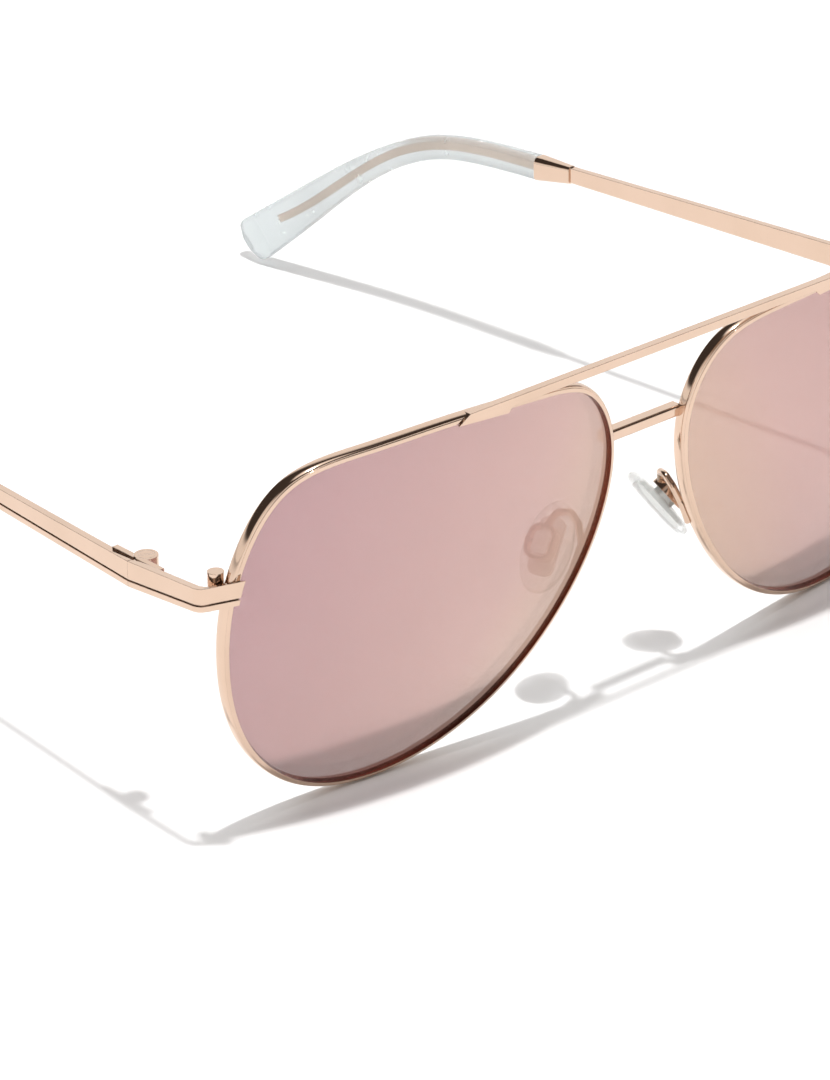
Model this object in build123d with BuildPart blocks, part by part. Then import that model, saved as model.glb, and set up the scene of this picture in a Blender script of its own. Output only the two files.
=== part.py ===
from build123d import *
import os
from math import cos, radians, sin

# Aviator sunglasses: metal double-bridge front, mirrored lenses, folding temples.
# Millimetres. +Z is up, +X is the wearer's left, -Y is the way the wearer looks.
# The glasses stand open on the two rim bottoms and the two temple tips, at Z = 0,
# and the YZ plane is the plane of symmetry. Left pieces are modelled, then mirrored.

# Pieces are laid out with the crowns of the lenses at Y = 0. Finished pieces are moved
# so that the origin is the middle of the footprint, on the floor.
LAYOUT_TO_BASE = (0, -77.4, -0.03)

# ---- Lens and rim --------------------------------------------------------------
LENS_CENTRE_X = 37.0        # half of lens width 60 plus bridge 14
LENS_CENTRE_Z = 32.45
FRONT_LEAN = 7.2            # degrees, the top of the front leans forward
LENS_WRAP = 3.5             # degrees, each lens turns back at the temple side
BASE_CURVE = 104.0          # radius of the lens front
RIM_FACE = 0.85             # width of the rim seen from the front
RIM_DEPTH = 1.6
LENS_INSET = 0.3            # lens front behind the rim front
LENS_THICKNESS = 1.2
GROOVE_INSET = 0.5          # groove front behind the rim front
GROOVE_WIDTH = 0.6
GROOVE_BITE = 0.35          # depth of the groove in the rim
BLANK_DEPTH = 20.0          # stock cut through before the curved faces are made

# Outer edge of the rim, seen from the front: (towards the nose, up) from the lens centre.
RIM_OUTLINE = (
    (0.0, 19.9),
    (15.0, 18.9),
    (24.9, 16.0),
    (30.4, 6.8),
    (30.0, -2.2),
    (24.5, -14.8),
    (13.0, -27.1),
    (-1.4, -33.1),
    (-14.5, -31.8),
    (-25.5, -22.4),
    (-30.8, -7.2),
    (-29.8, 6.5),
    (-23.2, 16.7),
    (-12.3, 19.3),
)

OUTLINE_STATIONS = 28       # points that carry the outline when it is drawn in

# ---- Bars across the front -----------------------------------------------------
BROW_FRONT_Y = -1.0
BROW_DEPTH = 1.15
BROW_BOTTOM_Z = 51.35
BROW_HEIGHT = 1.15
BROW_HALF_LENGTH = 35.9     # at the lower edge
BROW_END_SLANT = 1.9        # the ends are cut back towards the top
FLANGE_INNER_X = 27.6       # the lower lip runs from here to the end of the bar
FLANGE_DROP = 0.7
BRIDGE_FRONT_Y = 3.2
BRIDGE_DEPTH = 1.9
BRIDGE_BOTTOM_Z = 38.4
BRIDGE_HEIGHT = 1.6
BRIDGE_HALF_LENGTH = 6.6
BAR_ROUNDING = 0.2

# ---- End piece and temple ------------------------------------------------------
BAR_THICKNESS = 1.0
END_TIP = (65.2, 3.85)      # outer face of the end piece in plan: on the rim,
END_CORNER = (70.6, 8.0)    # at the bend,
JOINT = (70.0, 22.6)        # and where it meets the temple
END_BEND_RADIUS = 2.6
END_TOP = ((3.0, 38.8), (8.0, 37.3), (22.6, 35.85))
END_BOTTOM = ((3.0, 35.6), (8.0, 34.15), (22.6, 32.35))
LINE_HEIGHT = 0.75          # the dark line runs this far above the lower edge
LINE_WIDTH = 0.28
LINE_DEPTH = 0.25
TOE_IN = 4.6                # degrees, the temples converge towards the tips
JOINT_GAP = 0.06
# Side views of the temple: (distance behind the joint, height).
TEMPLE_TOP = ((JOINT_GAP, 35.85), (64.0, 33.8))
TEMPLE_BOTTOM = ((JOINT_GAP, 32.35), (64.0, 31.55))
CORE_LINE = ((63.5, 32.65), (81.8, 31.8), (90.0, 30.4), (99.5, 26.5), (110.5, 18.9), (124.6, 9.0))
CORE_HEIGHT = 1.25
CORE_THICKNESS = 0.9
FERRULE_START = 62.9
FERRULE_END = 69.3
FERRULE_MIDDLE_Z = (32.65, 32.15)
FERRULE_HEIGHT = (2.7, 3.8)
FERRULE_THICKNESS = (1.5, 2.8)
TIP_UPPER = ((69.3, 34.0), (83.0, 33.1), (91.0, 31.6), (99.8, 28.1), (118.5, 16.5), (131.6, 7.6))
TIP_LOWER = ((69.3, 30.3), (80.6, 29.7), (87.7, 28.7), (98.4, 24.5), (117.7, 9.7), (124.9, 2.6))
TIP_HEEL = ((134.6, 5.4), (129.2, -0.79))
TIP_HEEL_RADIUS = 2.2
TIP_THICKNESS = 2.7
TIP_ROUNDING = 0.8

# ---- Hinge ---------------------------------------------------------------------
HINGE_X = 67.3
HINGE_Y = 22.2
KNUCKLE_RADIUS = 1.55
KNUCKLE_GAP = 0.06
HINGE_SETBACK = 0.5         # the temple's leaf starts this far behind the axis
HINGE_BOTTOM = 32.5
HINGE_LOWER = 33.5          # top of the lower knuckle
HINGE_UPPER = 34.75         # bottom of the upper knuckle
HINGE_TOP = 36.05
SCREW_RADIUS = 0.65
SCREW_CLEARANCE = 0.03
SCREW_HEAD_RADIUS = 1.15
SCREW_HEAD_HEIGHT = 0.5
SLOT_WIDTH = 0.35
SLOT_DEPTH = 0.25
LEAF_LENGTH = 4.6
LEAF_OFFSET = 0.85          # inner face of the leaf, outward from the hinge axis
LEAF_THICKNESS = 0.85

# ---- Rim lock ------------------------------------------------------------------
LOCK_X = 67.4
LOCK_Y = 8.5
LOCK_RADIUS = 1.05
LOCK_BOTTOM = 34.6
LOCK_SPLIT = 36.7
LOCK_TOP = 38.7
SPLIT_WIDTH = 0.12
LOCK_SCREW_RADIUS = 0.4
LOCK_HEAD_RADIUS = 0.6
LOCK_HEAD_HEIGHT = 0.5

# ---- Nose pads -----------------------------------------------------------------
PAD_PIVOT = (11.5, 10.2, 23.5)
PAD_LONG = (-0.60, 0.205, 0.772)    # up the length of the pad
PAD_FACING = (-0.74, 0.28, -0.62)   # towards the nose
PAD_LENGTH = 12.6
PAD_WIDTH = 7.4
PAD_BACK = 1.1              # heights above the pivot, towards the nose
PAD_FRONT = 3.2
PAD_ROUNDING = 0.7
CORE_PLATE = (8.0, 3.6)     # stiff insert inside the pad
CORE_PLATE_BACK = 1.5
CORE_PLATE_FRONT = 2.1
BOSS_SIZE = (2.9, 2.3)      # block of the insert that sits in the pad box
BOSS_BACK = -0.6
BOX_SIZE = (4.9, 4.0)       # oval ring that holds the boss
BOX_WALL = 0.5
BOX_CORNER = 1.6
BOX_BACK = -0.9
BOX_FRONT = 0.6
PAD_SCREW_RADIUS = 0.35
PAD_SCREW_HEAD_RADIUS = 0.6
PAD_SCREW_HEAD_HEIGHT = 0.3
WIRE_RADIUS = 0.5
WIRE_BEND = 0.9
# The wire arm: brazed along the rim, up, over and down to the pad box.
ARM_ROUTE = (
    (10.45, 5.5, 21.2),
    (9.05, 5.35, 24.3),
    (8.5, 6.5, 26.6),
    (8.5, 8.0, 27.8),
    (9.3, 9.7, 27.4),
    (10.3, 10.6, 25.5),
)

BLOCK_SPAN = 90.0           # larger than half the glasses, for cutting blocks


def lens_plane(depth=0.0):
    """Plane of the left lens, `depth` behind the crown of its front; x outward, y up."""
    facing = Plane(origin=(LENS_CENTRE_X, 0, LENS_CENTRE_Z), x_dir=(1, 0, 0), z_dir=(0, -1, 0))
    return facing.rotated((0, 0, LENS_WRAP)).rotated((FRONT_LEAN, 0, 0)).offset(-depth)


def rim_profile(inset):
    """Face inside the rim's outline, drawn in by `inset` towards the lens."""
    outline = Edge.make_spline([(-nasal, up) for nasal, up in RIM_OUTLINE], periodic=True)
    points = []
    for station in range(OUTLINE_STATIONS):
        along = station / OUTLINE_STATIONS
        inward = (outline % along).rotate(Axis.Z, 90)
        points.append(outline @ along + inward * inset)
    with BuildSketch(lens_plane(-BLANK_DEPTH / 2)) as profile:
        with BuildLine():
            Spline(*points, periodic=True)
        make_face()
    return profile.sketch


def shell_cut(front, back):
    """Keep what lies between two depths behind the lens front, both on its curve."""
    with Locations(lens_plane(BASE_CURVE).location):
        Sphere(BASE_CURVE - front, rotation=(90, 0, 0), mode=Mode.INTERSECT)
        Sphere(BASE_CURVE - back, rotation=(90, 0, 0), mode=Mode.SUBTRACT)


def upright(radius, bottom, top, x, y, mode=Mode.ADD):
    """Round post on a vertical axis, from one height to another."""
    with Locations((x, y, bottom)):
        Cylinder(radius, top - bottom, align=(Align.CENTER, Align.CENTER, Align.MIN), mode=mode)


def plate(size, plane, height, corner=0.0, mode=Mode.ADD):
    """Rectangle with rounded corners on a plane, raised by `height` along its normal."""
    with BuildSketch(plane) as outline:
        if corner:
            RectangleRounded(*size, corner)
        else:
            Rectangle(*size)
    extrude(outline.sketch, amount=height, mode=mode)


def side_band(plane, low_line, high_line, depth, mode=Mode.INTERSECT):
    """Keep, cut or add what lies between two lines drawn in a side view."""
    with BuildSketch(plane) as band:
        with BuildLine():
            Polyline(*low_line, *reversed(high_line), close=True)
        make_face()
    extrude(band.sketch, amount=depth, both=True, mode=mode)


def raised(line, height):
    """The same side-view line, higher up."""
    return [(along, z + height) for along, z in line]


def save(name, piece):
    """Move a finished piece to the base frame, label it and write it."""
    moved = piece.moved(Location(LAYOUT_TO_BASE))
    moved.label = name
    export_step(moved, f"parts/{name}.step")


def save_pair(name, left_piece):
    """Write the left piece and its mirror image, the right one."""
    with BuildPart() as twin:
        mirror(left_piece, about=Plane.YZ)
    save(f"{name}_left", left_piece)
    save(f"{name}_right", twin.part)


os.makedirs("parts", exist_ok=True)

# ---- Lens blank: its rim of thin edge fills the groove in the eyewire ----------
with BuildPart() as lens_edge:
    extrude(rim_profile(RIM_FACE - GROOVE_BITE), amount=-BLANK_DEPTH)
    shell_cut(GROOVE_INSET, GROOVE_INSET + GROOVE_WIDTH)

with BuildPart() as lens:
    extrude(rim_profile(RIM_FACE), amount=-BLANK_DEPTH)
    shell_cut(LENS_INSET, LENS_INSET + LENS_THICKNESS)
    add(lens_edge.part)
save_pair("lens", lens.part)

# ---- Eyewire: a ring on the lens curve, split behind the end piece -------------
with BuildPart() as eyewire:
    extrude(rim_profile(0), amount=-BLANK_DEPTH)
    shell_cut(0, RIM_DEPTH)
    extrude(rim_profile(RIM_FACE), amount=-BLANK_DEPTH, mode=Mode.SUBTRACT)
    add(lens_edge.part, mode=Mode.SUBTRACT)
    with Locations((LOCK_X + 2 * RIM_DEPTH, LOCK_Y, LOCK_SPLIT)):
        Box(8 * RIM_DEPTH, 8 * RIM_DEPTH, SPLIT_WIDTH, mode=Mode.SUBTRACT)
save_pair("eyewire", eyewire.part)

# ---- Room taken by a rim with its lens, which the brazed pieces are fitted to ----
with BuildPart() as left_front:
    extrude(rim_profile(0), amount=-BLANK_DEPTH)
    shell_cut(0, RIM_DEPTH)

with BuildPart() as both_fronts:
    add(left_front.part)
    mirror(left_front.part, about=Plane.YZ)

# ---- Brow bar: square bar over both rims, with a lip down each outer end --------
with BuildPart() as brow_bar:
    with BuildSketch(Plane.XZ.offset(-BROW_FRONT_Y)):
        with BuildLine():
            brow_top = BROW_BOTTOM_Z + BROW_HEIGHT
            lip = BROW_BOTTOM_Z - FLANGE_DROP
            Polyline(
                (0, BROW_BOTTOM_Z),
                (FLANGE_INNER_X - FLANGE_DROP, BROW_BOTTOM_Z),
                (FLANGE_INNER_X, lip),
                (BROW_HALF_LENGTH, BROW_BOTTOM_Z),
                (BROW_HALF_LENGTH - BROW_END_SLANT, brow_top),
                (0, brow_top),
                close=True,
            )
        make_face()
        mirror(about=Plane.YZ)
    extrude(amount=-BROW_DEPTH)
    add(both_fronts.part, mode=Mode.SUBTRACT)
save("brow_bar", brow_bar.part)

# ---- Bridge: short bar brazed between the backs of the two rims ------------------
with BuildPart() as bridge:
    with Locations((0, BRIDGE_FRONT_Y, BRIDGE_BOTTOM_Z)):
        Box(
            2 * BRIDGE_HALF_LENGTH,
            BRIDGE_DEPTH,
            BRIDGE_HEIGHT,
            align=(Align.CENTER, Align.MIN, Align.MIN),
        )
    fillet(bridge.edges().filter_by(Axis.X), 2 * BAR_ROUNDING)
    add(both_fronts.part, mode=Mode.SUBTRACT)
save("bridge", bridge.part)

# ---- End piece: flat bar from the face of the rim, round the bend to the hinge ---
def end_plan(thickness):
    """Plan of the end piece, `thickness` deep inward from its outer face."""
    with BuildSketch(Plane.XY) as plan:
        with BuildLine():
            outer = FilletPolyline(END_TIP, END_CORNER, JOINT, radius=END_BEND_RADIUS)
            offset(outer, amount=thickness, side=Side.LEFT)
        make_face()
    return plan.sketch


with BuildPart() as end_line:
    extrude(end_plan(LINE_DEPTH), amount=BLOCK_SPAN)
    side_band(
        Plane.YZ,
        raised(END_BOTTOM, LINE_HEIGHT),
        raised(END_BOTTOM, LINE_HEIGHT + LINE_WIDTH),
        BLOCK_SPAN,
    )

with BuildPart() as end_piece:
    extrude(end_plan(BAR_THICKNESS), amount=BLOCK_SPAN)
    side_band(Plane.YZ, END_BOTTOM, END_TOP, BLOCK_SPAN)
    add(end_line.part, mode=Mode.SUBTRACT)
    add(left_front.part, mode=Mode.SUBTRACT)
    extrude(rim_profile(RIM_FACE), amount=-BLANK_DEPTH, mode=Mode.SUBTRACT)
save_pair("end_piece", end_piece.part)

# ---- Hinge: two knuckles on the end piece, one on the temple, and a screw --------
with BuildPart() as hinge_screw:
    upright(SCREW_RADIUS, HINGE_BOTTOM, HINGE_TOP, HINGE_X, HINGE_Y)
    upright(SCREW_HEAD_RADIUS, HINGE_TOP - SCREW_HEAD_HEIGHT, HINGE_TOP, HINGE_X, HINGE_Y)
    with Locations((HINGE_X, HINGE_Y, HINGE_TOP)):
        Box(4 * SCREW_RADIUS, SLOT_WIDTH, 2 * SLOT_DEPTH, rotation=(0, 0, 30), mode=Mode.SUBTRACT)
save_pair("hinge_screw", hinge_screw.part)

SWEEP_RADIUS = KNUCKLE_RADIUS + KNUCKLE_GAP


def hinge_leaf(start_y, end_y):
    """Flat leaf brazed on the inner face of a bar, beside the hinge axis."""
    with Locations((HINGE_X + LEAF_OFFSET, start_y, HINGE_BOTTOM)):
        Box(
            LEAF_THICKNESS,
            end_y - start_y,
            HINGE_TOP - HINGE_BOTTOM,
            align=(Align.MIN, Align.MIN, Align.MIN),
        )


with BuildPart() as hinge_front:
    hinge_leaf(HINGE_Y - LEAF_LENGTH, HINGE_Y)
    for low, high in ((HINGE_BOTTOM, HINGE_LOWER), (HINGE_UPPER, HINGE_TOP)):
        upright(KNUCKLE_RADIUS, low, high, HINGE_X, HINGE_Y)
    upright(SWEEP_RADIUS, HINGE_LOWER, HINGE_UPPER, HINGE_X, HINGE_Y, mode=Mode.SUBTRACT)
    add(end_piece.part, mode=Mode.SUBTRACT)
    add(hinge_screw.part, mode=Mode.SUBTRACT)
save_pair("hinge_front", hinge_front.part)

# ---- Temple: flat bar that ends in the wire core of the tip -----------------------
temple_plane = Plane(
    origin=(*JOINT, 0),
    x_dir=(-sin(radians(TOE_IN)), cos(radians(TOE_IN)), 0),
    z_dir=(cos(radians(TOE_IN)), sin(radians(TOE_IN)), 0),
)
bar_middle = temple_plane.offset(-BAR_THICKNESS / 2)

with BuildPart() as temple:
    side_band(bar_middle, TEMPLE_BOTTOM, TEMPLE_TOP, BAR_THICKNESS / 2, mode=Mode.ADD)
    side_band(
        temple_plane,
        raised(TEMPLE_BOTTOM, LINE_HEIGHT),
        raised(TEMPLE_BOTTOM, LINE_HEIGHT + LINE_WIDTH),
        LINE_DEPTH,
        mode=Mode.SUBTRACT,
    )
    with BuildSketch(bar_middle):
        with BuildLine():
            Spline(*CORE_LINE)
        trace(line_width=CORE_HEIGHT)
    extrude(amount=CORE_THICKNESS / 2, both=True)
save_pair("temple", temple.part)

with BuildPart() as hinge_temple:
    hinge_leaf(HINGE_Y + HINGE_SETBACK, HINGE_Y + LEAF_LENGTH)
    for low, high in ((HINGE_BOTTOM, HINGE_LOWER), (HINGE_UPPER, HINGE_TOP)):
        upright(SWEEP_RADIUS, low, high, HINGE_X, HINGE_Y, mode=Mode.SUBTRACT)
    upright(
        KNUCKLE_RADIUS,
        HINGE_LOWER + KNUCKLE_GAP,
        HINGE_UPPER - KNUCKLE_GAP,
        HINGE_X,
        HINGE_Y,
    )
    upright(
        SCREW_RADIUS + SCREW_CLEARANCE,
        HINGE_BOTTOM,
        HINGE_TOP,
        HINGE_X,
        HINGE_Y,
        mode=Mode.SUBTRACT,
    )
    add(temple.part, mode=Mode.SUBTRACT)
save_pair("hinge_temple", hinge_temple.part)

# ---- Tip: clear sleeve over the wire core, and the ferrule that closes its mouth --
with BuildPart() as temple_tip:
    with BuildSketch(bar_middle):
        with BuildLine():
            upper = Spline(*TIP_UPPER)
            lower = Spline(*TIP_LOWER)
            Line(upper @ 0, lower @ 0)
            FilletPolyline(upper @ 1, *TIP_HEEL, lower @ 1, radius=TIP_HEEL_RADIUS)
        make_face()
    extrude(amount=TIP_THICKNESS / 2, both=True)
    side_faces = temple_tip.faces().filter_by(bar_middle)
    mouth = temple_tip.faces().sort_by(Axis.Y)[0]
    fillet(side_faces.edges() - mouth.edges(), TIP_ROUNDING)
    add(temple.part, mode=Mode.SUBTRACT)
save_pair("temple_tip", temple_tip.part)

with BuildPart() as ferrule:
    ends = zip((FERRULE_START, FERRULE_END), FERRULE_MIDDLE_Z, FERRULE_HEIGHT, FERRULE_THICKNESS)
    for along, middle, height, thickness in ends:
        centre = bar_middle.from_local_coords((along, middle, 0))
        with BuildSketch(Plane(origin=centre, x_dir=temple_plane.z_dir, z_dir=temple_plane.x_dir)):
            RectangleRounded(thickness, height, thickness / 3)
    loft()
    add(temple.part, mode=Mode.SUBTRACT)
save_pair("ferrule", ferrule.part)

# ---- Rim lock: split block that closes the eyewire on the lens --------------------
with BuildPart() as lock_screw:
    upright(LOCK_SCREW_RADIUS, LOCK_BOTTOM, LOCK_TOP - LOCK_RADIUS, LOCK_X, LOCK_Y)
    upright(LOCK_HEAD_RADIUS, LOCK_BOTTOM, LOCK_BOTTOM + LOCK_HEAD_HEIGHT, LOCK_X, LOCK_Y)
    with Locations((LOCK_X, LOCK_Y, LOCK_BOTTOM)):
        Box(4 * LOCK_SCREW_RADIUS, SLOT_WIDTH, 2 * SLOT_DEPTH, mode=Mode.SUBTRACT)
save_pair("lock_screw", lock_screw.part)

half_split = SPLIT_WIDTH / 2
lock_halves = {
    "lock_lower": (LOCK_BOTTOM, LOCK_SPLIT - half_split),
    "lock_upper": (LOCK_SPLIT + half_split, LOCK_TOP),
}
for lock_name, (low, high) in lock_halves.items():
    with BuildPart() as lock_half:
        upright(LOCK_RADIUS, low, high, LOCK_X, LOCK_Y)
        add(left_front.part, mode=Mode.SUBTRACT)
        add(end_piece.part, mode=Mode.SUBTRACT)
        add(lock_screw.part, mode=Mode.SUBTRACT)
    save_pair(lock_name, lock_half.part)

# ---- Nose pad: everything is laid out from the pivot, on the plane of the pad -----
pad_plane = Plane(origin=PAD_PIVOT, x_dir=PAD_LONG, z_dir=PAD_FACING)
pivot_plane = Plane(origin=PAD_PIVOT, x_dir=PAD_LONG, z_dir=pad_plane.y_dir)


def pivot_post(radius, half_length, mode=Mode.ADD):
    """Round post along the pivot of the pad, centred in the pad box."""
    with Locations(pivot_plane.location):
        Cylinder(radius, 2 * half_length, mode=mode)


with BuildPart() as pad_screw:
    pivot_post(PAD_SCREW_RADIUS, BOX_SIZE[1] / 2)
    with BuildSketch(pivot_plane.offset(BOX_SIZE[1] / 2)):
        Circle(PAD_SCREW_HEAD_RADIUS)
        Rectangle(4 * PAD_SCREW_RADIUS, SLOT_WIDTH / 2, mode=Mode.SUBTRACT)
    extrude(amount=PAD_SCREW_HEAD_HEIGHT)
save_pair("pad_screw", pad_screw.part)

with BuildPart() as pad_box:
    plate(BOX_SIZE, pad_plane.offset(BOX_BACK), BOX_FRONT - BOX_BACK, BOX_CORNER)
    inner_size = [size - 2 * BOX_WALL for size in BOX_SIZE]
    plate(
        inner_size,
        pad_plane.offset(BOX_BACK),
        BOX_FRONT - BOX_BACK,
        BOX_CORNER - BOX_WALL,
        mode=Mode.SUBTRACT,
    )
    add(pad_screw.part, mode=Mode.SUBTRACT)
save_pair("pad_box", pad_box.part)

with BuildPart() as pad_core:
    plate(BOSS_SIZE, pad_plane.offset(BOSS_BACK), CORE_PLATE_BACK - BOSS_BACK, BOX_WALL)
    plate(
        CORE_PLATE,
        pad_plane.offset(CORE_PLATE_BACK),
        CORE_PLATE_FRONT - CORE_PLATE_BACK,
        CORE_PLATE[1] / 3,
    )
    pivot_post(PAD_SCREW_RADIUS + SCREW_CLEARANCE, BOX_SIZE[1], mode=Mode.SUBTRACT)
save_pair("pad_core", pad_core.part)

with BuildPart() as nose_pad:
    with BuildSketch(pad_plane.offset(PAD_BACK)):
        Ellipse(PAD_LENGTH / 2, PAD_WIDTH / 2)
    extrude(amount=PAD_FRONT - PAD_BACK)
    fillet(nose_pad.edges().filter_by(GeomType.ELLIPSE), PAD_ROUNDING)
    add(pad_core.part, mode=Mode.SUBTRACT)
save_pair("nose_pad", nose_pad.part)

with BuildPart() as pad_arm:
    with BuildLine() as arm_path:
        FilletPolyline(*ARM_ROUTE, radius=WIRE_BEND)
    with BuildSketch(Plane(origin=arm_path.line @ 0, z_dir=arm_path.line % 0)):
        Circle(WIRE_RADIUS)
    sweep()
    add(left_front.part, mode=Mode.SUBTRACT)
    add(pad_box.part, mode=Mode.SUBTRACT)
save_pair("pad_arm", pad_arm.part)
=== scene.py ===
from math import cos, pi, radians, sin, sqrt

import bmesh
import bpy
import numpy as np
from mathutils import Matrix, Vector


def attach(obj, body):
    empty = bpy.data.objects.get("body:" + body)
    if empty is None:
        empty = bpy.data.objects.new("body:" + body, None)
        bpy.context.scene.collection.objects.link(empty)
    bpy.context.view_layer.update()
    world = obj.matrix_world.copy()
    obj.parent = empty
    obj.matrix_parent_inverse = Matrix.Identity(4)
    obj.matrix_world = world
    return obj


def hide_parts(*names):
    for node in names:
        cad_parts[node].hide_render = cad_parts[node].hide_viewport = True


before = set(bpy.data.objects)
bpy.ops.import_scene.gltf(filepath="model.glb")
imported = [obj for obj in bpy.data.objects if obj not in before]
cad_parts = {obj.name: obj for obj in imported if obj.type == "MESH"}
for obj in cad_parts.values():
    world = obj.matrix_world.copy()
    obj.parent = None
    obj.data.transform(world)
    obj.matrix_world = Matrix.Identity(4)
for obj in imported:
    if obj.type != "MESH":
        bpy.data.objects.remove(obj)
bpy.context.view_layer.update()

MM = 0.001
SIDES = {"left": 1, "right": -1}

# The CAD layout has the crowns of the lenses at Y = 0. This is its place in the frame.
LAYOUT_TO_BASE = Vector((0, -77.4, -0.03))

# Lens and rim, in millimetres and degrees. The lens sits a little deeper in the rim than
# in the CAD model, so that the rim's inner wall shows.
LENS_CENTRE = Vector((37.0, 0, 32.45))
FRONT_LEAN = 7.2
LENS_WRAP = 3.5
BASE_CURVE = 104.0
RIM_FACE = 0.85
RIM_DEPTH = 1.6
LENS_INSET = 0.42
LENS_THICKNESS = 1.1
LENS_OVERLAP = 0.06         # the lens runs this far into the rim
# Outline of the rim from the centre of the lens: (towards the nose, up).
RIM_OUTLINE = (
    (0.0, 19.9),
    (15.0, 18.9),
    (24.9, 16.0),
    (30.4, 6.8),
    (30.0, -2.2),
    (24.5, -14.8),
    (13.0, -27.1),
    (-1.4, -33.1),
    (-14.5, -31.8),
    (-25.5, -22.4),
    (-30.8, -7.2),
    (-29.8, 6.5),
    (-23.2, 16.7),
    (-12.3, 19.3),
)
RIM_STATIONS = 360
LENS_RINGS = 28

# Rim section: how the outer wall bulges between the front lip and the back.
LIP_WIDTH = 0.5
LIP_NOTCH = 0.09
WALL_BULGE = 0.24
WALL_POINTS = 14
RIM_CREASE = 30             # edges sharper than this many degrees stay sharp

# Temple and tip side views: (distance behind the joint, height).
JOINT = Vector((70.0, 22.6, 0))
TOE_IN = 4.6
BAR_THICKNESS = 1.0
TIP_UPPER = ((69.3, 34.0), (83.0, 33.1), (91.0, 31.6), (99.8, 28.1), (118.5, 16.5), (134.4, 5.6))
TIP_LOWER = ((69.3, 30.3), (80.6, 29.7), (87.7, 28.7), (98.4, 24.5), (117.7, 9.7), (129.2, 0.1))
TIP_THICKNESS = 2.7
TIP_STATIONS = 90
TIP_SECTION_POINTS = 40
TIP_SQUARENESS = 3.6
HEEL_ROUNDING = 2.0
HEEL_LEAST_HEIGHT = 0.3     # parts of the full section that are left at the very end
HEEL_LEAST_THICKNESS = 0.75

# Nose pads, laid out from the pivot: where their length points and where they face.
PAD_PIVOT = Vector((11.5, 10.2, 23.5))
PAD_LONG = Vector((-0.60, 0.205, 0.772))
PAD_FACING = Vector((-0.74, 0.28, -0.62))
PAD_LENGTH = 12.6
PAD_WIDTH = 7.4
PAD_BACK = 1.1
PAD_FRONT = 3.2
PAD_SECTION_POWER = 0.42
PAD_TAPER = 0.12            # the pad is narrower towards the top
PAD_CROWN_POWER = 0.9
PAD_TURN_POINTS = 72
PAD_LEVELS = 28

# Plating: (dull, bright) tones, and how far the painted crevice shade and edge rounding reach.
PLATING = ((0.67, 0.495, 0.38), (0.72, 0.535, 0.42))
# Painted shade: dark (dull, bright) copies of the plating for the rim's inner wall, standing in for the
# shade there.
PAINTED_SHADE_PLATING = ((0.16, 0.045, 0.028), (0.22, 0.07, 0.045))
# Colour of the painted shade in crevices, where ambient occlusion is strong.
PAINTED_CREVICE_SHADE = (0.10, 0.04, 0.025)
CREVICE_REACH = 0.5 * MM
EDGE_ROUNDING = 0.12 * MM

# Mirror coating: its tint follows the distance from the nose plus a part of the height.
COATING_STOPS = (
    (0.0, (0.62, 0.42, 0.27)),
    (0.35, (0.56, 0.33, 0.29)),
    (1.0, (0.43, 0.21, 0.225)),
)
COATING_HEIGHT_SHARE = 0.45
COATING_START = 12 * MM
COATING_END = 85 * MM

# The camera looks from the front and above, past the wearer's right temple (mm, degrees).
CAMERA_TARGET = Vector((-42.504, 0, 37.73))
CAMERA_DISTANCE = 613.37
CAMERA_AZIMUTH = -41.388
CAMERA_ELEVATION = 25.748
CAMERA_ROLL = -0.632
CAMERA_LENS = 165.49
CAMERA_SENSOR = 36.0

# White panels round the table: (direction, full brightness within, dark beyond), degrees.
PANELS = (
    ((0.62, 0.66, 0.42), 22, 38),
    ((0.0, -0.1, 1.0), 14, 24),
    ((-0.9, -0.35, 0.3), 12, 30),
)
PANEL_COLOUR = (1.0, 0.99, 0.98)
ROOM_COLOUR = (0.055, 0.045, 0.04)
ROOM_STRENGTH = 1.08
WALL_FULL = 0.12            # the low white wall: sine of the height where it starts to fade
WALL_GONE = 0.22            # and where it has gone

# Lamps and floor, in metres and watts.
KEY_PLACE = (-0.08, -0.19, 1.1)
KEY_SIZE = 0.045
KEY_POWER = 8.2
FILL_PLACE = (-0.1, 0.0, 1.6)
FILL_SIZE = 2.4
FILL_POWER = 17.5
LAMP_TARGET = (0, -0.04, 0.02)
FLOOR_HALF = 6.0


# ---- Geometry helpers ------------------------------------------------------------
def to_frame(point, side):
    """Point of the left half of the layout, in the frame, on either side."""
    placed = (point + LAYOUT_TO_BASE) * MM
    return Vector((placed.x * SIDES[side], placed.y, placed.z))


def spline_curvature(knots, spans, closed):
    """Second derivatives at the knots of a cubic spline, natural or closed."""
    last = len(knots) - 1
    system = np.zeros((last + 1, last + 1))
    bend = np.zeros((last + 1, 2))
    slopes = np.diff(knots, axis=0) / spans[:, None]
    for row in range(1, last):
        before, after = spans[row - 1], spans[row]
        system[row, row - 1:row + 2] = before, 2 * (before + after), after
        bend[row] = 6 * (slopes[row] - slopes[row - 1])
    if closed:
        system[0, 0], system[0, last] = 1, -1
        system[last, [0, 1, last - 1, last]] = 2 * spans[0], spans[0], spans[-1], 2 * spans[-1]
        bend[last] = 6 * (slopes[0] - slopes[-1])
    else:
        system[0, 0] = system[last, last] = 1
    return np.linalg.solve(system, bend)


def smooth_line(points, count, closed=False):
    """Evenly spaced points on the cubic spline through some points."""
    knots = np.array(points + points[:1] if closed else points, float)
    spans = np.hypot(*np.diff(knots, axis=0).T)
    curvature = spline_curvature(knots, spans, closed)
    starts = np.r_[0, np.cumsum(spans)]
    found = []
    for along in np.linspace(0, starts[-1], count, endpoint=not closed):
        span = min(int(np.searchsorted(starts, along, side="right")), len(spans)) - 1
        width = spans[span]
        after = (along - starts[span]) / width
        before = 1 - after
        straight = before * knots[span] + after * knots[span + 1]
        curved = (before ** 3 - before) * curvature[span] + (after ** 3 - after) * curvature[span + 1]
        found.append(straight + width ** 2 / 6 * curved)
    return np.array(found)


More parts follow.
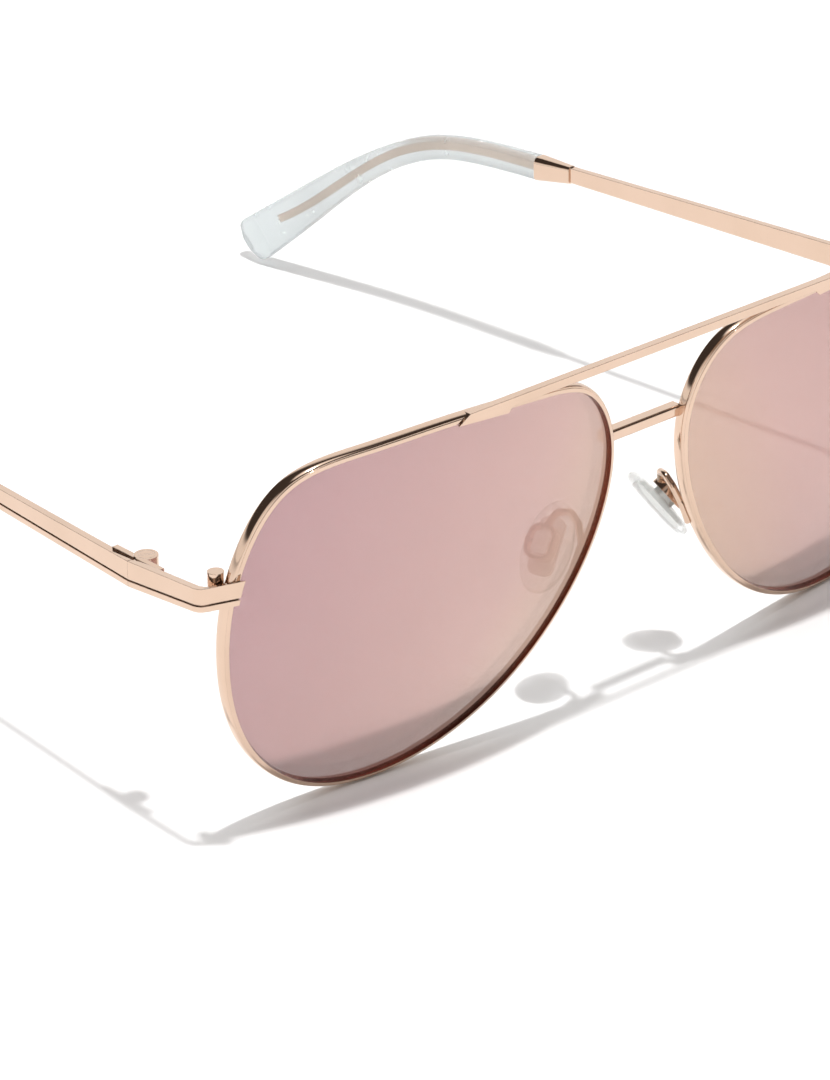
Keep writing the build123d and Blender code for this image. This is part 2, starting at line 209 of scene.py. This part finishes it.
def strip_faces(rings, points, closed_rings=False):
    """Quads between successive rings, each a closed loop of points."""
    faces = []
    for ring in range(rings if closed_rings else rings - 1):
        here = ring * points
        there = (ring + 1) % rings * points
        for index in range(points):
            after = (index + 1) % points
            faces.append((here + index, here + after, there + after, there + index))
    return faces


def turn_outward(mesh):
    """Make all faces of a closed mesh face outward."""
    work = bmesh.new()
    work.from_mesh(mesh)
    bmesh.ops.recalc_face_normals(work, faces=work.faces)
    work.to_mesh(mesh)
    work.free()


def add_piece(name, vertices, faces, material, body, nodes, crease=40):
    """Smooth mesh piece that rides on a body and stands for some CAD nodes."""
    mesh = bpy.data.meshes.new(name)
    mesh.from_pydata(vertices, [], faces)
    mesh.validate()
    mesh.shade_smooth()
    mesh.set_sharp_from_angle(angle=radians(crease))
    piece = bpy.data.objects.new(name, mesh)
    bpy.context.scene.collection.objects.link(piece)
    turn_outward(mesh)
    mesh.materials.append(material)
    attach(piece, body)
    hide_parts(*nodes)
    return piece


# ---- Rim and lens shapes ---------------------------------------------------------
lens_axes = (
    Matrix.Rotation(radians(FRONT_LEAN), 3, "X")
    @ Matrix.Rotation(radians(LENS_WRAP), 3, "Z")
    @ Matrix(((1, 0, 0), (0, 0, -1), (0, 1, 0)))
)


def on_lens(across, up, depth, side):
    """Point at a depth behind the curved front of a lens."""
    fall = BASE_CURVE - sqrt((BASE_CURVE - depth) ** 2 - across ** 2 - up ** 2)
    return to_frame(LENS_CENTRE + lens_axes @ Vector((across, up, -fall)), side)


outline = smooth_line([(-nasal, up) for nasal, up in RIM_OUTLINE], RIM_STATIONS, closed=True)
tangents = np.roll(outline, -1, axis=0) - np.roll(outline, 1, axis=0)
tangents /= np.hypot(*tangents.T)[:, None]
inward = np.stack((-tangents[:, 1], tangents[:, 0]), axis=1)


def rim_section():
    """Section of the rim: (distance in from the outline, depth behind the front)."""
    notch_inset = RIM_FACE - LIP_WIDTH
    section = [(RIM_FACE, RIM_DEPTH), (RIM_FACE, 0.0), (notch_inset, 0.0), (notch_inset, LIP_NOTCH)]
    half_wall = (RIM_DEPTH - LIP_NOTCH) / 2
    for step in range(WALL_POINTS + 1):
        turn = pi * step / WALL_POINTS
        bulge = WALL_BULGE * (1 - sin(turn))
        section.append((bulge, LIP_NOTCH + half_wall * (1 - cos(turn))))
    return section


def build_rim(side, metal, painted_shade_metal):
    """Rim: its section carried round the outline on the curve of the lens, its inner wall in painted
    shade.
    """
    section = rim_section()
    vertices = []
    for point, inner in zip(outline, inward):
        for inset, depth in section:
            vertices.append(on_lens(*(point + inner * inset), depth, side))
    faces = strip_faces(RIM_STATIONS, len(section), closed_rings=True)
    nodes = [f"eyewire_{side}"]
    rim = add_piece(f"rim_{side}", vertices, faces, metal, "front", nodes, RIM_CREASE)
    rim.data.materials.append(painted_shade_metal)
    # The first strip along the section is the inner wall, which gets the plating painted dark as shade.
    for inner_wall_face in range(0, len(faces), len(section)):
        rim.data.polygons[inner_wall_face].material_index = 1


def build_lens(side, coating):
    """Lens: curved front and back, closed round the edge inside the rim."""
    edge = outline + inward * (RIM_FACE - LENS_OVERLAP)
    vertices = []
    for depth, fractions in (
        (LENS_INSET, range(1, LENS_RINGS + 1)),
        (LENS_INSET + LENS_THICKNESS, range(LENS_RINGS, 0, -1)),
    ):
        for ring in fractions:
            for point in edge * (ring / LENS_RINGS):
                vertices.append(on_lens(*point, depth, side))
    faces = strip_faces(2 * LENS_RINGS, RIM_STATIONS)
    front_centre = len(vertices)
    vertices.append(on_lens(0, 0, LENS_INSET, side))
    vertices.append(on_lens(0, 0, LENS_INSET + LENS_THICKNESS, side))
    last_ring = (2 * LENS_RINGS - 1) * RIM_STATIONS
    for index in range(RIM_STATIONS):
        after = (index + 1) % RIM_STATIONS
        faces.append((front_centre, after, index))
        faces.append((front_centre + 1, last_ring + index, last_ring + after))
    add_piece(f"mirror_{side}", vertices, faces, coating, "front", [f"lens_{side}"])


# ---- Temple tips -----------------------------------------------------------------
temple_back = Vector((-sin(radians(TOE_IN)), cos(radians(TOE_IN)), 0))
temple_out = Vector((cos(radians(TOE_IN)), sin(radians(TOE_IN)), 0))


def power(value, exponent):
    """Signed power, for rounded-square sections."""
    return (1 if value >= 0 else -1) * abs(value) ** exponent


def build_tip(side, sleeve):
    """Sleeve of the temple: a rounded flat section that follows two side lines."""
    upper = smooth_line(TIP_UPPER, TIP_STATIONS)
    lower = smooth_line(TIP_LOWER, TIP_STATIONS)
    middle = (upper + lower) / 2
    to_end = np.hypot(*(middle - middle[-1]).T)
    vertices = []
    for high, low, left_over in zip(upper, lower, to_end):
        inside = max(HEEL_ROUNDING - left_over, 0)
        pull = HEEL_ROUNDING - sqrt(max(HEEL_ROUNDING ** 2 - inside ** 2, 0))
        half_height = np.hypot(*(high - low)) / 2
        shrink = max(1 - pull / half_height, HEEL_LEAST_HEIGHT)
        half_thickness = TIP_THICKNESS / 2 * max(shrink, HEEL_LEAST_THICKNESS)
        for step in range(TIP_SECTION_POINTS):
            turn = 2 * pi * step / TIP_SECTION_POINTS
            across = power(sin(turn), 2 / TIP_SQUARENESS) * shrink
            out = power(cos(turn), 2 / TIP_SQUARENESS) * half_thickness
            along, height = (high + low) / 2 + (high - low) / 2 * across
            point = JOINT + temple_back * along + temple_out * (out - BAR_THICKNESS / 2)
            vertices.append(to_frame(point + Vector((0, 0, height)), side))
    faces = strip_faces(TIP_STATIONS, TIP_SECTION_POINTS)
    last = (TIP_STATIONS - 1) * TIP_SECTION_POINTS
    faces.append(tuple(range(TIP_SECTION_POINTS)))
    faces.append(tuple(range(last, last + TIP_SECTION_POINTS)))
    nodes = [f"temple_tip_{side}"]
    add_piece(f"sleeve_{side}", vertices, faces, sleeve, f"temple_arm_{side}", nodes)


# ---- Nose pads -------------------------------------------------------------------
pad_normal = PAD_FACING.normalized()
pad_across = pad_normal.cross(PAD_LONG).normalized()
pad_along = pad_across.cross(pad_normal)


def build_pad(side, silicone):
    """Soft pad: an oval cushion with full edges."""
    centre = PAD_PIVOT + pad_normal * (PAD_BACK + PAD_FRONT) / 2
    vertices = []
    for level in range(1, PAD_LEVELS):
        rise = pi * (level / PAD_LEVELS - 0.5)
        size = power(cos(rise), PAD_SECTION_POWER)
        height = power(sin(rise), PAD_CROWN_POWER) * (PAD_FRONT - PAD_BACK) / 2
        for step in range(PAD_TURN_POINTS):
            turn = 2 * pi * step / PAD_TURN_POINTS
            along = cos(turn) * size * PAD_LENGTH / 2
            taper = 1 - PAD_TAPER * (cos(turn) + 1) / 2
            across = sin(turn) * size * PAD_WIDTH / 2 * taper
            point = centre + pad_along * along + pad_across * across + pad_normal * height
            vertices.append(to_frame(point, side))
    faces = strip_faces(PAD_LEVELS - 1, PAD_TURN_POINTS)
    last = (PAD_LEVELS - 2) * PAD_TURN_POINTS
    faces.append(tuple(range(PAD_TURN_POINTS)))
    faces.append(tuple(range(last, last + PAD_TURN_POINTS)))
    nodes = [f"nose_pad_{side}"]
    add_piece(f"pad_{side}", vertices, faces, silicone, f"pad_{side}", nodes)


# ---- Materials -------------------------------------------------------------------
def new_material(name):
    """Node material with its nodes, its shader and its link function."""
    material = bpy.data.materials.new(name)
    material.use_nodes = True
    nodes = material.node_tree.nodes
    return material, nodes, nodes["Principled BSDF"], material.node_tree.links.new


def noise(nodes, links, scale):
    """Noise over the object's own coordinates."""
    place = nodes.new("ShaderNodeTexCoord")
    texture = nodes.new("ShaderNodeTexNoise")
    texture.inputs["Scale"].default_value = scale
    texture.inputs["Detail"].default_value = 4.0
    links(place.outputs["Object"], texture.inputs["Vector"])
    return texture.outputs["Fac"]


def ramp(nodes, links, source, stops):
    """Colour ramp: (position, colour) stops."""
    colours = nodes.new("ShaderNodeValToRGB")
    while len(colours.color_ramp.elements) < len(stops):
        colours.color_ramp.elements.new(0.5)
    for element, (position, colour) in zip(colours.color_ramp.elements, stops):
        element.position = position
        element.color = (*colour, 1)
    links(source, colours.inputs["Fac"])
    return colours.outputs["Color"]


def mottle(nodes, links, scale, dull, bright):
    """Soft patches between two near tones."""
    return ramp(nodes, links, noise(nodes, links, scale), ((0.3, dull), (0.7, bright)))


def uneven_polish(nodes, links, scale, low, high):
    """Roughness that wanders between two values."""
    mapped = nodes.new("ShaderNodeMapRange")
    mapped.inputs["To Min"].default_value = low
    mapped.inputs["To Max"].default_value = high
    links(noise(nodes, links, scale), mapped.inputs["Value"])
    return mapped.outputs["Result"]


def multiply_colours(nodes, links, first, second):
    """Product of two colours. Inputs 6 and 7 and output 2 of a Mix node are its colour sockets."""
    mix = nodes.new("ShaderNodeMix")
    mix.data_type = "RGBA"
    mix.blend_type = "MULTIPLY"
    mix.inputs["Factor"].default_value = 1.0
    links(first, mix.inputs[6])
    links(second, mix.inputs[7])
    return mix.outputs[2]


def rose_gold(name, dull_tone, bright_tone):
    """Polished plating: faint tone and polish changes, painted shade in crevices from ambient
    occlusion, soft edges.
    """
    material, nodes, shader, links = new_material(name)
    tone = mottle(nodes, links, 90, dull_tone, bright_tone)
    # Painted shade: the base colour is darkened where ambient occlusion finds nearby surfaces.
    crevice = nodes.new("ShaderNodeAmbientOcclusion")
    crevice.inputs["Distance"].default_value = CREVICE_REACH
    crevice.only_local = True
    crevice.samples = 8
    shade = ramp(nodes, links, crevice.outputs["AO"], ((0.25, PAINTED_CREVICE_SHADE), (0.55, (1.0, 1.0, 1.0))))
    links(multiply_colours(nodes, links, tone, shade), shader.inputs["Base Color"])
    edges = nodes.new("ShaderNodeBevel")
    edges.samples = 6
    edges.inputs["Radius"].default_value = EDGE_ROUNDING
    links(edges.outputs["Normal"], shader.inputs["Normal"])
    links(uneven_polish(nodes, links, 400, 0.07, 0.13), shader.inputs["Roughness"])
    shader.inputs["Metallic"].default_value = 1.0
    return material


def mirror_coating():
    """Pink mirror coating, warmer towards the nose and the bottom, a little see-through."""
    material, nodes, shader, links = new_material("mirror_coating")
    place = nodes.new("ShaderNodeTexCoord")
    parts = nodes.new("ShaderNodeSeparateXYZ")
    links(place.outputs["Object"], parts.inputs["Vector"])
    from_nose = nodes.new("ShaderNodeMath")
    from_nose.operation = "ABSOLUTE"
    links(parts.outputs["X"], from_nose.inputs[0])
    blend = nodes.new("ShaderNodeMath")
    blend.operation = "MULTIPLY_ADD"
    blend.inputs[1].default_value = COATING_HEIGHT_SHARE
    links(parts.outputs["Z"], blend.inputs[0])
    links(from_nose.outputs["Value"], blend.inputs[2])
    level = nodes.new("ShaderNodeMapRange")
    level.inputs["From Min"].default_value = COATING_START
    level.inputs["From Max"].default_value = COATING_END
    links(blend.outputs["Value"], level.inputs["Value"])
    tint = ramp(nodes, links, level.outputs["Result"], COATING_STOPS)
    links(tint, shader.inputs["Base Color"])
    links(uneven_polish(nodes, links, 40, 0.02, 0.05), shader.inputs["Roughness"])
    shader.inputs["Metallic"].default_value = 0.85
    shader.inputs["Alpha"].default_value = 0.64
    shader.inputs["Coat Weight"].default_value = 0.3
    return material


def clear_plastic(name, tints, scale, rough, transmission, ior, alpha=1.0):
    """Clear or frosted plastic with slight clouding."""
    material, nodes, shader, links = new_material(name)
    links(mottle(nodes, links, scale, *tints), shader.inputs["Base Color"])
    links(uneven_polish(nodes, links, 3 * scale, *rough), shader.inputs["Roughness"])
    shader.inputs["Transmission Weight"].default_value = transmission
    shader.inputs["IOR"].default_value = ior
    shader.inputs["Alpha"].default_value = alpha
    return material


def floor_material():
    """White paper floor with a barely visible grain."""
    material, nodes, shader, links = new_material("floor_paper")
    links(mottle(nodes, links, 60, (0.90, 0.90, 0.90), (0.92, 0.92, 0.92)), shader.inputs["Base Color"])
    shader.inputs["Roughness"].default_value = 0.8
    shader.inputs["Specular IOR Level"].default_value = 0.2
    return material


metal = rose_gold("rose_gold", *PLATING)
# A darkened copy of the plating: painted shade for the rim's inner wall.
painted_shade_metal = rose_gold("rose_gold_painted_shade", *PAINTED_SHADE_PLATING)
coating = mirror_coating()
sleeve = clear_plastic(
    "frosted_sleeve", ((0.69, 0.74, 0.75), (0.77, 0.82, 0.83)),
    scale=120, rough=(0.22, 0.3), transmission=0.68, ior=1.3, alpha=0.85,
)
silicone = clear_plastic(
    "clear_silicone", ((0.86, 0.90, 0.89), (0.94, 0.97, 0.96)),
    scale=160, rough=(0.05, 0.1), transmission=0.8, ior=1.35, alpha=0.6,
)
insert = clear_plastic(
    "pad_insert", ((0.78, 0.79, 0.77), (0.86, 0.87, 0.85)),
    scale=200, rough=(0.25, 0.35), transmission=0.5, ior=1.3,
)

for node_name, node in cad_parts.items():
    chosen = insert if node_name.startswith("pad_core") else metal
    for node_slot in node.material_slots:
        node_slot.material = chosen

for side in SIDES:
    build_rim(side, metal, painted_shade_metal)
    build_lens(side, coating)
    build_tip(side, sleeve)
    build_pad(side, silicone)


# ---- Studio ----------------------------------------------------------------------
def build_floor():
    """Plain pale floor, large enough for any view."""
    mesh = bpy.data.meshes.new("floor")
    signs = ((-1, -1), (1, -1), (1, 1), (-1, 1))
    corners = [(across * FLOOR_HALF, along * FLOOR_HALF, 0) for across, along in signs]
    mesh.from_pydata(corners, [], [(0, 1, 2, 3)])
    mesh.materials.append(floor_material())
    floor = bpy.data.objects.new("floor", mesh)
    bpy.context.scene.collection.objects.link(floor)


def area_light(name, place, size, energy, in_reflections=True):
    """Soft square light that faces the glasses."""
    data = bpy.data.lights.new(name, "AREA")
    data.size = size
    data.energy = energy
    light = bpy.data.objects.new(name, data)
    light.location = place
    light.rotation_euler = (Vector(LAMP_TARGET) - Vector(place)).to_track_quat("-Z", "Y").to_euler()
    light.visible_glossy = in_reflections
    bpy.context.scene.collection.objects.link(light)


def fade(nodes, links, value, gone, full):
    """0 where a value is at `gone`, rising smoothly to 1 at `full`."""
    glow = nodes.new("ShaderNodeMapRange")
    glow.interpolation_type = "SMOOTHSTEP"
    glow.inputs["From Min"].default_value = gone
    glow.inputs["From Max"].default_value = full
    links(value, glow.inputs["Value"])
    return glow.outputs["Result"]


def panel_glow(nodes, links, toward, inner, outer):
    """1 inside `inner` degrees of a direction, falling to 0 at `outer` degrees."""
    place = nodes.new("ShaderNodeTexCoord")
    dot = nodes.new("ShaderNodeVectorMath")
    dot.operation = "DOT_PRODUCT"
    dot.inputs[1].default_value = Vector(toward).normalized()
    links(place.outputs["Generated"], dot.inputs[0])
    return fade(nodes, links, dot.outputs["Value"], cos(radians(outer)), cos(radians(inner)))


def wall_glow(nodes, links):
    """1 along the horizon, falling to 0 above it: the low white wall round the table."""
    place = nodes.new("ShaderNodeTexCoord")
    parts = nodes.new("ShaderNodeSeparateXYZ")
    links(place.outputs["Generated"], parts.inputs["Vector"])
    return fade(nodes, links, parts.outputs["Z"], WALL_GONE, WALL_FULL)


def build_world():
    """Dim room with white panels and a low wall, so that polished edges show light and dark."""
    world = bpy.data.worlds.new("studio")
    bpy.context.scene.world = world
    world.use_nodes = True
    nodes = world.node_tree.nodes
    links = world.node_tree.links.new
    glow = wall_glow(nodes, links)
    for toward, inner, outer in PANELS:
        both = nodes.new("ShaderNodeMath")
        both.operation = "MAXIMUM"
        links(glow, both.inputs[0])
        links(panel_glow(nodes, links, toward, inner, outer), both.inputs[1])
        glow = both.outputs["Value"]
    sky = ramp(nodes, links, glow, ((0.0, ROOM_COLOUR), (1.0, PANEL_COLOUR)))
    background = nodes["Background"]
    links(sky, background.inputs["Color"])
    background.inputs["Strength"].default_value = ROOM_STRENGTH


def build_camera():
    """Camera that faces its target from its azimuth and elevation."""
    azimuth = radians(CAMERA_AZIMUTH)
    elevation = radians(CAMERA_ELEVATION)
    back = Vector((sin(azimuth) * cos(elevation), -cos(azimuth) * cos(elevation), sin(elevation)))
    target = (CAMERA_TARGET + LAYOUT_TO_BASE) * MM
    data = bpy.data.cameras.new("camera")
    data.lens = CAMERA_LENS
    data.sensor_width = CAMERA_SENSOR
    camera = bpy.data.objects.new("camera", data)
    level = back.to_track_quat("Z", "Y").to_matrix()
    turned = level @ Matrix.Rotation(radians(CAMERA_ROLL), 3, "Z")
    camera.matrix_world = Matrix.Translation(target + back * CAMERA_DISTANCE * MM) @ turned.to_4x4()
    bpy.context.scene.collection.objects.link(camera)
    bpy.context.scene.camera = camera


bpy.context.scene.view_settings.view_transform = "Standard"
build_floor()
build_world()
area_light("key", KEY_PLACE, KEY_SIZE, KEY_POWER)
area_light("fill", FILL_PLACE, FILL_SIZE, FILL_POWER, in_reflections=False)
build_camera()
